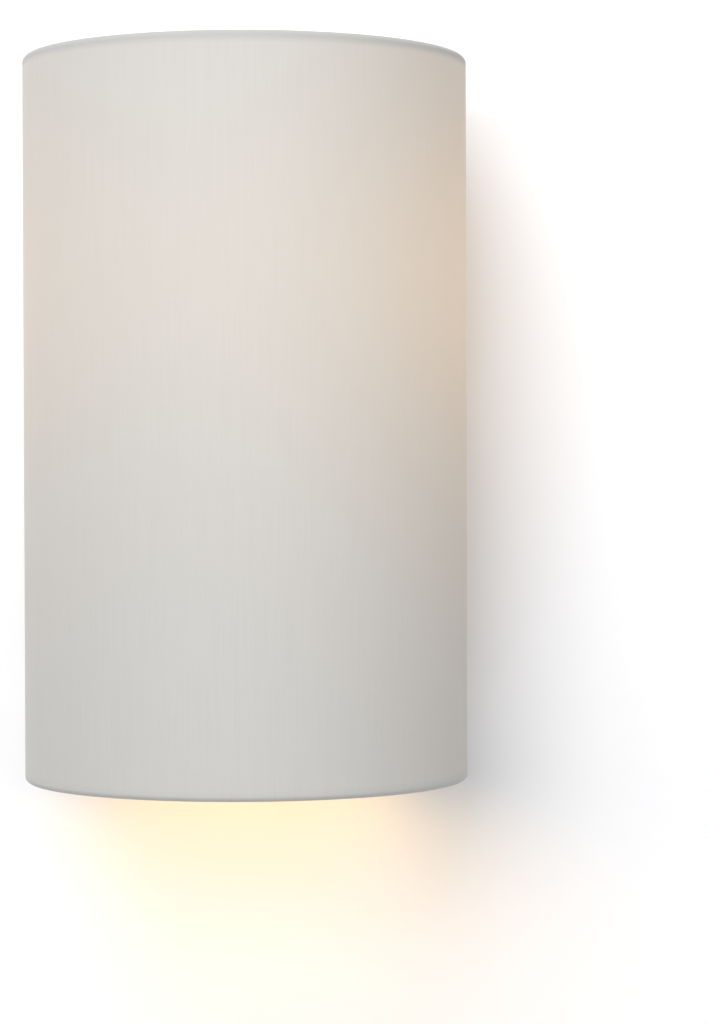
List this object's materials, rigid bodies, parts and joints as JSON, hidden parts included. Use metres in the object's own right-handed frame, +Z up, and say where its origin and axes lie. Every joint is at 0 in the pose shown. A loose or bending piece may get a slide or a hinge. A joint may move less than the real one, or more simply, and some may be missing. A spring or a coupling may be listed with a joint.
{
  "type": "fabric shade wall light",
  "caption": "Wall light with a tall fabric drum shade hung by keyholes on a wall plate; a curved arm inside holds a screw-in frosted bulb upright.",
  "frame": {"origin": "on the wall plane, midway between the two wall fixing slots, at half the height of the shade", "axes": "+X right as seen from the room, +Y into the wall, +Z up along the shade's axis"},
  "size_m": [0.18, 0.1705, 0.293],
  "materials": {
    "shade_cloth": "off-white linen and cotton weave, matt, lets light through",
    "shade_backing": "white laminate backing, matt",
    "edge_tape": "cloth tape to match the shade",
    "frame_wire": "white powder-coated steel",
    "white_paint": "satin white paint",
    "zinc_plate": "zinc-plated steel",
    "bright_steel": "plated steel",
    "arm_steel": "satin nickel on steel",
    "grommet_rubber": "black rubber",
    "block_plastic": "natural nylon",
    "contact_brass": "plain brass",
    "wire_brown": "brown insulation",
    "wire_blue": "blue insulation",
    "wire_green": "green and yellow insulation",
    "holder_plastic": "white phenolic plastic",
    "ceramic": "glazed ceramic",
    "solder_tip": "tinned contact",
    "frosted_glass": "frosted glass, lit from inside",
    "cap_metal": "rolled aluminium screw cap",
    "cap_glass": "dark glass insulator",
    "clear_glass": "clear glass stem",
    "filament": "yellow phosphor coating"
  },
  "bodies": {
    "wall_bracket": {"wall_plate": "zinc_plate", "hanging_studs": "bright_steel", "cable_grommet": "grommet_rubber", "wall_box_cover": "white_paint", "cover_screws": "bright_steel", "terminal_block": "block_plastic", "terminal_inserts": "contact_brass", "terminal_screws": "bright_steel", "terminal_block_screws": "bright_steel", "earth_screw": "bright_steel", "earth_lug": "contact_brass", "live_wire": "wire_brown", "neutral_wire": "wire_blue", "earth_wire": "wire_green", "arm_tube": "arm_steel", "arm_collar": "arm_steel", "arm_lock_nut": "bright_steel", "lampholder_cap": "holder_plastic", "lampholder_body": "holder_plastic", "lampholder_insulator": "ceramic", "lamp_screw_shell": "contact_brass", "centre_contact": "contact_brass", "contact_rivets": "contact_brass", "lampholder_terminals": "contact_brass", "lampholder_terminal_screws": "bright_steel"},
    "shade": {"shade_fabric": "shade_cloth", "shade_liner": "shade_backing", "top_ring": "frame_wire", "bottom_ring": "frame_wire", "top_hem": "shade_cloth", "bottom_hem": "shade_cloth", "left_strut": "frame_wire", "right_strut": "frame_wire", "left_edge_binding": "edge_tape", "right_edge_binding": "edge_tape", "upper_hanger_bar": "frame_wire", "lower_hanger_bar": "frame_wire"},
    "bulb_tip": {"bulb_tip_contact": "solder_tip"},
    "bulb": {"bulb_glass": "frosted_glass", "bulb_cap": "cap_metal", "bulb_cap_insulator": "cap_glass", "bulb_stem": "clear_glass", "bulb_filament_crowns": "bright_steel", "bulb_filaments": "filament"}
  },
  "joints": [
    {"name": "shade_lift", "type": "slide", "parent": "wall_bracket", "child": "shade", "axis": [0, 0, 1], "range_m": [0, 0.009]},
    {"name": "bulb_travel", "type": "slide", "parent": "wall_bracket", "child": "bulb_tip", "axis": [0, 0, 1], "range_m": [0, 0.0109]},
    {"name": "bulb_turn", "type": "hinge", "parent": "bulb_tip", "child": "bulb", "pos_m": [0, -0.08051, 0.05], "axis": [0, 0, 1], "range_deg": [0, 1080]}
  ],
  "couplings": [
    {"joint": "bulb_travel", "follows": "bulb_turn", "m_per_rad": 0.00057757}
  ]
}
